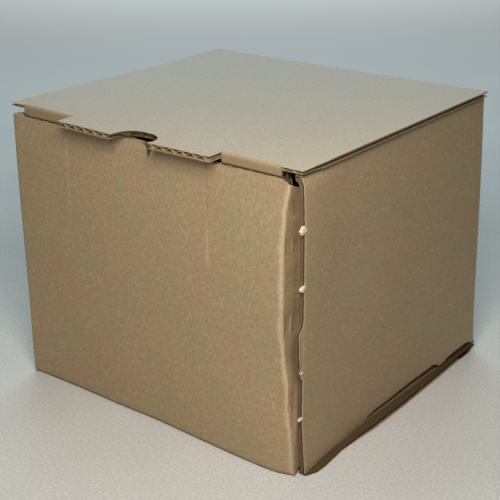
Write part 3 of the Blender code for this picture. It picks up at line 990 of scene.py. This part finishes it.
lid = {
    "hingeSeam": 83.0,
    "hingeHalf": 82.6,
    "noseSeam": -82.4,
    "earInner": 85.9,
    "earInnerRight": 82.6,
    "earCrush": 0.45,
    "crushAcross": (78, 86),
    "crushAlong": (-85, -66),
    "earFront": -87.5,
    "rearCorner": (1.0, 0.3, 1.6),
    "lipLeft": -50.05,
    "lipRight": 47.9,
    "lipCorner": 1.5,
    "notchCentre": -1.9,
    "notchWidth": 23.8,
    "notchDepth": 13.4,
    "notchBulge": 1.6,
    "notchSquare": 2.6,
    "notchSteps": 24,
    "liftLine": ((-95, 2.6), (-57, 1.9), (-30, 1.3), (-13, 0.7), (20, 0.6), (46, 0.5), (76, 0.0),
                 (95, 0.0)),
    "liftStart": -60,
    "liftFade": (-12, -2),
    "lipSkew": 1.2,
    "frontGrid": (-84, 1.5, 12),
    "hingeRadius": 2.4,
    "hingeBlend": 0.8,
    "noseRadius": 1.2,
    "noseDrop": 3.0,
    "noseGap": 0.2,
    "edgeWear": (0.3, 1.2),
    # Painted shade on the lid's side cut edges
    "edgeShade": 0.35,
    "edgeReach": 0.3,
    # Painted shade in the thumb notch
    "notchShade": 1.0,
    # How far the notch's painted shade reaches aside and behind, and where it starts under the top
    "notchReach": (1.0, 0.5, 0.2),
    # Painted highlight along the nose's bend
    "noseHighlight": (0.3, 1.5, 1.0),
    # Painted shade at the nose strips' cut ends and down their front faces
    "noseEndShade": 1.0,
    "noseReach": 0.4,
    "noseShade": 0.3,
    "shadeRun": 2.5,
    "noseInset": 3.6,
    # Two points for the nose strips, each as (behind the front, under the top)
    "noseBlend": ((3.1, 5.5), (4.9, 6.0)),
    "tuckSetIn": 75.0,
    "tuckBack": 65.0,
    "tuckRadius": 1.5,
    "tuckRun": 3.0,
    "tuckStart": 0.5,
    "tuckLength": 60.0,
    "creaseGrid": 0.3,
}


def lidLift(x, y):
    # The shut lid stands a little proud along its front edge, most at the left corner
    return lineThrough(lid["liftLine"], x) * smooth(-y, lid["liftStart"], -size["lipTip"])


def notchPoints():
    points = []
    power = 2 / lid["notchSquare"]
    for step in range(lid["notchSteps"] + 1):
        turn = math.pi * step / lid["notchSteps"]
        across = math.cos(turn)
        v = math.sin(turn) ** power
        s = math.copysign(abs(across) ** power, across) * lid["notchWidth"] / 2
        s += lid["notchBulge"] * max(across, 0) * math.sin(math.pi * v)
        points.append((lid["notchCentre"] + s, size["lipTip"] + lid["notchDepth"] * v))
    return points


def makeLid():
    side = size["lidSide"]
    tip = size["lipTip"]
    rear = size["backFace"]
    curve = lid["lipCorner"]
    left = lid["lipLeft"]
    right = lid["lipRight"]
    nose = lid["noseSeam"]
    earFront = lid["earFront"]
    inset, gap, cut = lid["rearCorner"]
    half = lid["hingeHalf"]
    sideEdge = [(half, lid["hingeSeam"]), (half, rear - inset), (side - inset, rear - gap), (side, rear - cut),
                (side, earFront)]
    outline = [(-half, lid["hingeSeam"])] + sideEdge
    outline += [(lid["earInnerRight"], earFront), (lid["earInnerRight"], nose), (right, nose)]
    outline += arcPoints(right - curve, tip + curve, curve, 0, -90, 3)
    outline += notchPoints()
    outline += arcPoints(left + curve, tip + curve, curve, 270, 180, 3)
    outline += [(left, nose), (-lid["earInner"], nose), (-lid["earInner"], earFront)]
    outline += [(-s, t) for s, t in sideEdge[:0:-1]]

    def place(s, t, d):
        crushed = lid["earCrush"] * smooth(np.abs(s), *lid["crushAcross"])
        crushed = crushed * (1 - smooth(t, *lid["crushAlong"]))
        out = np.clip((nose - t) / (nose - tip), 0, 1)
        drawnIn = lid["lipSkew"] * np.clip((s - left) / (right - left), 0, 1) * out
        drawnIn = drawnIn * (np.abs(s) < lid["earInnerRight"])
        return join(s, t + drawnIn, size["lidTop"] - d * (1 - crushed) + lidLift(s, t))

    def wearAndHighlightAt(s, t):
        amount, width = lid["edgeWear"]
        return amount * softLine(np.abs(s) - side, width)

    # Painted shade on the side cut edges and in the thumb notch
    def paintedShade(s, t, d):
        aside, behind, under = lid["notchReach"]
        reach = lid["edgeReach"]
        atSide = (np.abs(s) > side - reach) & (d > reach)
        inNotch = np.abs(s - lid["notchCentre"]) < lid["notchWidth"] / 2 + aside
        inNotch = inNotch & (t < tip + lid["notchDepth"] + behind) & (d > under)
        return np.maximum(lid["edgeShade"] * atSide, lid["notchShade"] * inNotch)

    piece = makeBoard("lidBoard", [outline], place, "lid", seamAt(lid["hingeSeam"], nose), (),
                      stepped(*lid["frontGrid"]), wearAndHighlightAt, paintedShade, outer=lidSheenMaterial)
    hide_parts("lid")


def noseLegs():
    flat = -(size["frontFace"] + lid["noseGap"]) + lid["noseSeam"] - lid["noseRadius"]
    return [(flat, 0, 0), (0, lid["noseRadius"], 90), (lid["noseDrop"], 0, 0),
            (0, lid["tuckRadius"], lid["tuckSetIn"]), (lid["tuckRun"], 0, 0),
            (0, lid["tuckRadius"], -lid["tuckBack"]), (lid["tuckLength"], 0, 0)]


def tuckStart():
    return runOf(noseLegs()[:-1]) + lid["tuckStart"]


def frontPlace(s, t, d):
    # From the lid's top over the nose and down the tuck flap: t is the run from the nose seam
    forward, z = pathPlace(noseLegs(), (-lid["noseSeam"], size["lidTop"]), 0, t, d)
    lift = lidLift(s, -forward) * smooth(z - size["lidTop"], *lid["liftFade"])
    return join(s, -forward, z + lift)


def noseStrip(name, low, high):
    legs = noseLegs()
    flat = legs[0][0]
    end = tuckStart()
    # The tucked-in part is narrower than the nose at the outer end
    drop = runOf(legs[:3])
    inset = lid["noseInset"] * (low < 0)
    outline = [(low, 0), (high, 0), (high, end), (low + inset, end), (low + inset, drop + 1), (low, drop)]

    # Painted highlight along the nose's bend
    def wearAndHighlightAt(s, t):
        amount, shift, width = lid["noseHighlight"]
        return amount * softLine(t - flat - shift, width)

    # Painted shade on the strip's cut ends and down its front face
    def paintedShade(s, t, d):
        atEnd = (np.abs(s) > max(abs(low), abs(high)) - lid["noseReach"]) & (d > board["face"])
        shade = smooth(t, flat, flat + lid["shadeRun"]) * (d < board["face"])
        return np.maximum(lid["noseEndShade"] * atEnd, lid["noseShade"] * shade)

    piece = makeBoard(name, [outline], frontPlace, None, seamAt(0, end), (),
                      stepped(0, lid["creaseGrid"], 60), wearAndHighlightAt, paintedShade, outer=lidSheenMaterial, flipped=True)
    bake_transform(piece)


tuck = {"corner": 12.0, "lean": 10.0, "windowDepth": 4.6, "windowGap": 1.5}


def makeTuck():
    start = tuckStart()
    joined = frontPlace(np.array([0.0]), np.array([start]), np.array([0.0]))[0]
    end = start + (joined[2] - size["tuckFoot"]) / math.cos(math.radians(tuck["lean"]))
    half = size["tuckSide"]
    curve = tuck["corner"]
    windowLow = lid["lipLeft"] - tuck["windowGap"]
    windowHigh = lid["lipRight"] + tuck["windowGap"]
    windowEnd = start + tuck["windowDepth"]
    outline = [(windowHigh, start), (half, start)]
    outline += arcPoints(half - curve, end - curve, curve, 0, 90)
    outline += arcPoints(-half + curve, end - curve, curve, 90, 180)
    outline += [(-half, start), (windowLow, start), (windowLow, windowEnd), (windowHigh, windowEnd)]
    piece = makeBoard("tuckBoard", [outline], frontPlace, "tuck_flap", seamAt(start), flipped=True)
    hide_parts("tuck_flap")


def makeHinge():
    radius = lid["hingeRadius"]
    rise = size["lidTop"] - back["top"] - radius
    run = size["backFace"] - radius - lid["hingeSeam"]
    legs = [(rise, 0, 0), (0, radius, 90), (run, 0, 0)]
    end = runOf(legs)
    half = back["hingeHalf"]

    def place(s, t, d):
        behind, z = pathPlace(legs, (-size["backFace"], back["top"]), 90, t, d)
        return join(s, -behind, z)

    piece = makeBoard("hingeCrease", [rectangle(-half, 0, half, end)], place, None, seamAt(0, end), (),
                      stepped(0, lid["creaseGrid"], 40))
    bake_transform(piece)


# Materials

def fill(tree, node, values):
    for key, value in values.items():
        if isinstance(value, bpy.types.NodeSocket):
            tree.links.new(value, node.inputs[key])
        else:
            node.inputs[key].default_value = value


def addNode(tree, kind, values=None, **settings):
    node = tree.nodes.new("ShaderNode" + kind)
    for key, value in settings.items():
        setattr(node, key, value)
    fill(tree, node, values or {})
    return node


def newMaterial(name):
    material = bpy.data.materials.new(name)
    material.use_nodes = True
    return material, material.node_tree, material.node_tree.nodes["Principled BSDF"]


def mathNode(tree, operation, *values):
    return addNode(tree, "Math", dict(enumerate(values)), operation=operation).outputs[0]


def mixColour(tree, factor, a, b):
    colours = [value if isinstance(value, bpy.types.NodeSocket) else (*value, 1.0) for value in (a, b)]
    return addNode(tree, "Mix", {0: factor, 6: colours[0], 7: colours[1]}, data_type="RGBA").outputs[2]


def scaled(tree, colour, share):
    return addNode(tree, "VectorMath", {0: colour, 3: share}, operation="SCALE").outputs[0]


def ramp(tree, factor, low, high):
    values = {0: factor, 1: low, 2: high}
    return addNode(tree, "MapRange", values, clamp=True, interpolation_type="SMOOTHSTEP").outputs[0]


def noiseAt(tree, vector, scale, detail, roughness=0.55):
    values = {"Vector": vector, "Scale": scale, "Detail": detail, "Roughness": roughness}
    return addNode(tree, "TexNoise", values).outputs[0]


paper = {
    "slant": 0.9,
    # Each noise: stretch across the flutes and along them, scale, detail and roughness
    "noises": {
        "blotch": (1, 1, 0.025, 2, 0.5),
        "patch": (1, 0.7, 0.04, 4, 0.6),
        "cluster": (1, 0.8, 0.09, 2, 0.5),
        "mottle": (1, 0.8, 0.42, 3, 0.6),
        "grain": (1.2, 0.8, 0.8, 4, 0.7),
        "fibre": (1.6, 0.35, 0.6, 2, 0.5),
        "strand": (1.7, 0.35, 0.6, 2, 0.5),
        "speck": (1, 1, 0.9, 1, 0.5),
    },
    # Each layer of tone: its share in the look, its noise, where it starts and is full, and its colour
    "layers": (
        ("blotch", "blotch", 0.40, 0.60, "dark"), ("patch", "patch", 0.42, 0.58, "red"),
        ("green", "patch", 0.52, 0.36, "green"), ("mottle", "mottle", 0.42, 0.62, "dark"),
        ("light", "mottle", 0.50, 0.34, "light"), ("fibre", "fibre", 0.60, 0.68, "fibre"),
        ("strand", "strand", 0.61, 0.69, "fibre"), ("speck", "speck", 0.60, 0.68, "speck"),
    ),
    "crowd": (0.40, 0.62),
    "bumpDistance": 0.001,
}


def kraftMaterial(name, tint, look):
    material, tree, shader = newMaterial(name)
    flat = addNode(tree, "Attribute", attribute_name="flat").outputs["Vector"]
    slanted = addNode(tree, "VectorRotate", {"Vector": flat, "Angle": paper["slant"]}).outputs[0]
    noises = {}
    for label, (across, along, *settings) in paper["noises"].items():
        values = {0: slanted if label == "strand" else flat, 1: (across, along, 1)}
        place = addNode(tree, "VectorMath", values, operation="MULTIPLY").outputs[0]
        noises[label] = noiseAt(tree, place, *settings)
    crowd = ramp(tree, noises["cluster"], *paper["crowd"])
    tone = [(a + b) / 2 for a, b in zip(tint["light"], tint["dark"])]
    for label, source, low, high, colour in paper["layers"]:
        share = mathNode(tree, "MULTIPLY", ramp(tree, noises[source], low, high), look[label])
        if colour == "fibre":
            share = mathNode(tree, "MULTIPLY", share, crowd)
        tone = mixColour(tree, share, tone, tint[colour])
    # Mix in the light fibre colour where wear and painted highlights are marked, and the dark brown where
    # painted shade is marked
    for label, colour in (("wearAndHighlight", "fibre"), ("paintedShade", "paintedShade")):
        amount = addNode(tree, "Attribute", attribute_name=label).outputs["Fac"]
        tone = mixColour(tree, mathNode(tree, "MULTIPLY", amount, look[label]), tone, tint[colour])
    s = addNode(tree, "SeparateXYZ", {0: flat}).outputs[0]
    # Painted shade: a faint light and dark stripe along each flute, as the washboard catches light
    flute = mathNode(tree, "SINE", mathNode(tree, "MULTIPLY", s, 2 * math.pi / board["pitch"]))
    shade = mathNode(tree, "MULTIPLY_ADD", flute, look["fluteShade"], 1.0)
    grainShade = mathNode(tree, "MULTIPLY_ADD", noises["grain"], look["grain"], 1.0 - look["grain"] / 2)
    height = mathNode(tree, "MULTIPLY", flute, look["fluteBump"])
    for label in ("grain", "fibre"):
        height = mathNode(tree, "MULTIPLY_ADD", noises[label], look[label + "Bump"], height)
    bump = addNode(tree, "Bump", {"Height": height, "Distance": paper["bumpDistance"], "Strength": 1.0})
    fill(tree, shader, {
        "Base Color": scaled(tree, tone, mathNode(tree, "MULTIPLY", shade, grainShade)),
        "Roughness": tint["roughness"],
        "Specular IOR Level": mathNode(tree, "MULTIPLY_ADD", amount, -look["specular"], look["specular"]),
        "Normal": bump.outputs[0],
    })
    return material


linerLook = {
    "blotch": 0.35,
    "patch": 0.72,
    "green": 0.66,
    "mottle": 0.55,
    "light": 0.5,
    "fibre": 0.40,
    "strand": 0.36,
    "speck": 0.35,
    "wearAndHighlight": 0.6,
    "paintedShade": 1.0,
    "grain": 0.7,
    "fluteShade": 0.003,
    "specular": 0.35,
    "fluteBump": 0.008,
    "grainBump": 0.20,
    "fibreBump": 0.10,
}
cutLook = dict(linerLook, patch=0.2, green=0.2, grain=0.4, grainBump=0.25, fluteShade=0.0, fluteBump=0.0)
cutTint = dict(kraft, light=kraft["cut"], dark=kraft["medium"])
mediumTint = dict(kraft, light=kraft["medium"], dark=kraft["dark"])

boardMaterials = [
    kraftMaterial("kraftOuter", kraft, linerLook),
    kraftMaterial("kraftInner", kraft, linerLook),
    kraftMaterial("kraftMedium", mediumTint, cutLook),
    kraftMaterial("kraftCutEdge", cutTint, cutLook),
]
# Painted sheen: the lid's own copy of the kraft, with fewer red and green patches, less mottle and fainter
# fibres, so its top looks less saturated and smoother, as under its grazing sheen
lidSheenLook = dict(linerLook, patch=0.35, green=0.35, mottle=0.35, light=0.3, fibre=0.12, strand=0.12,
               grain=0.45)
lidSheenMaterial = kraftMaterial("kraftLidSheen", kraft, lidSheenLook)
tuftTint = dict(kraft, light=(0.84, 0.72, 0.53), dark=(0.70, 0.56, 0.38), red=(0.88, 0.70, 0.50),
                green=(0.86, 0.70, 0.50), fibre=(0.98, 0.88, 0.70), speck=(0.60, 0.45, 0.30))
tuftMaterial = kraftMaterial("tornLinerPaper", tuftTint, cutLook)


# Floor, lights and camera

stageSize = {
    "floor": 6.0,
    "floorColour": (0.72, 0.70, 0.66),
    "cloudNoise": (9.0, 4.0),
    "cloudRamp": (0.3, 0.7),
    "cloudShade": 0.94,
    "farColour": (0.46, 0.385, 0.355),
    "farStart": 0.35,
    "farEnd": 1.0,
    "grainNoise": (700.0, 2.0),
    "grain": 0.6,
    "roughness": 0.9,
    "specular": 0.2,
}


def makeFloor():
    mesh = bpy.data.meshes.new("floor")
    half = stageSize["floor"] / 2
    mesh.from_pydata([(x, y, 0) for x, y in rectangle(-half, -half, half, half)], [], [(0, 1, 2, 3)])
    material, tree, shader = newMaterial("floorPaint")
    place = addNode(tree, "TexCoord").outputs["Object"]
    cloud = ramp(tree, noiseAt(tree, place, *stageSize["cloudNoise"]), *stageSize["cloudRamp"])
    grain = noiseAt(tree, place, *stageSize["grainNoise"])
    colour = stageSize["floorColour"]
    tone = mixColour(tree, cloud, colour, [stageSize["cloudShade"] * value for value in colour])
    # The floor behind the box is toned down where the blue back light falls on it
    away = tuple(aroundBox(lights["back"]["azimuth"], 0, 1.0))
    behind = addNode(tree, "VectorMath", {0: place, 1: away}, operation="DOT_PRODUCT").outputs["Value"]
    far = ramp(tree, behind, stageSize["farStart"], stageSize["farEnd"])
    tone = mixColour(tree, far, tone, stageSize["farColour"])
    shade = mathNode(tree, "MULTIPLY_ADD", grain, stageSize["grain"], 1 - stageSize["grain"] / 2)
    fill(tree, shader, {"Base Color": scaled(tree, tone, shade), "Roughness": stageSize["roughness"],
                        "Specular IOR Level": stageSize["specular"]})
    mesh.materials.append(material)
    linked("floor", mesh)


lights = {
    "key": {"azimuth": 36.0, "elevation": 37.0, "distance": 0.455, "size": 0.17, "power": 1.53,
            "colour": (1.0, 0.98, 0.93)},
    "back": {"azimuth": 218.0, "elevation": 24.0, "distance": 1.5, "size": 1.3, "power": 17.0,
             "colour": (0.68, 0.90, 1.0)},
}
worldLight = {"colour": (0.94, 0.98, 1.0), "strength": 0.10}


def aroundBox(azimuth, elevation, distance):
    a = math.radians(azimuth)
    e = math.radians(elevation)
    return Vector((math.sin(a) * math.cos(e), -math.cos(a) * math.cos(e), math.sin(e))) * distance


def makeLights():
    target = Vector((0, 0, size["lidTop"] / 2 / perMetre))
    for name, values in lights.items():
        lamp = bpy.data.lights.new(name, "AREA")
        lamp.size = values["size"]
        lamp.energy = values["power"]
        lamp.color = values["colour"]
        holder = linked(name, lamp)
        way = aroundBox(values["azimuth"], values["elevation"], values["distance"])
        holder.location = target + way
        holder.rotation_euler = (-way).to_track_quat("-Z", "Y").to_euler()
    world = bpy.data.worlds.new("studio")
    bpy.context.scene.world = world
    world.use_nodes = True
    fill(world.node_tree, world.node_tree.nodes["Background"],
         {0: (*worldLight["colour"], 1.0), 1: worldLight["strength"]})


camera = {
    "azimuth": 38.142,
    "elevation": 21.772,
    "roll": -0.798,
    "place": (389.05, -500.75, 321.95),
    "focalPixels": 1207.6,
    "imagePixels": 500.0,
    "sensor": 36.0,
    "clip": (0.01, 20.0),
}


def makeCamera():
    lens = bpy.data.cameras.new("camera")
    lens.sensor_width = camera["sensor"]
    lens.lens = camera["focalPixels"] / camera["imagePixels"] * camera["sensor"]
    lens.clip_start, lens.clip_end = camera["clip"]
    holder = linked("camera", lens)
    azimuth = math.radians(camera["azimuth"])
    forward = -aroundBox(camera["azimuth"], camera["elevation"], 1.0)
    right = Vector((math.cos(azimuth), math.sin(azimuth), 0))
    up = right.cross(forward)
    facing = Matrix((right, up, -forward)).transposed().to_4x4()
    turn = Matrix.Rotation(math.radians(camera["roll"]), 4, "Z")
    holder.matrix_world = Matrix.Translation(Vector(camera["place"]) / perMetre) @ facing @ turn
    bpy.context.scene.camera = holder


makeFront()
print("front board folded")
makeBack()
print("back board folded")
makeTongue()
print("tongue set in its slits")
makeSide(-1)
makeSide(1)
print("side boards rolled over")
makeBottom()
makeTufts()
print("bottom laid and torn bits added")
makeLid()
makeHinge()
print("lid and hinge crease made")
noseStrip("leftNose", -lid["earInner"], lid["lipLeft"])
noseStrip("rightNose", lid["lipRight"], lid["earInnerRight"])
makeTuck()
print("tuck flap hung")
makeFloor()
makeLights()
makeCamera()
bpy.context.scene.view_settings.view_transform = "Standard"
print("stage lit")
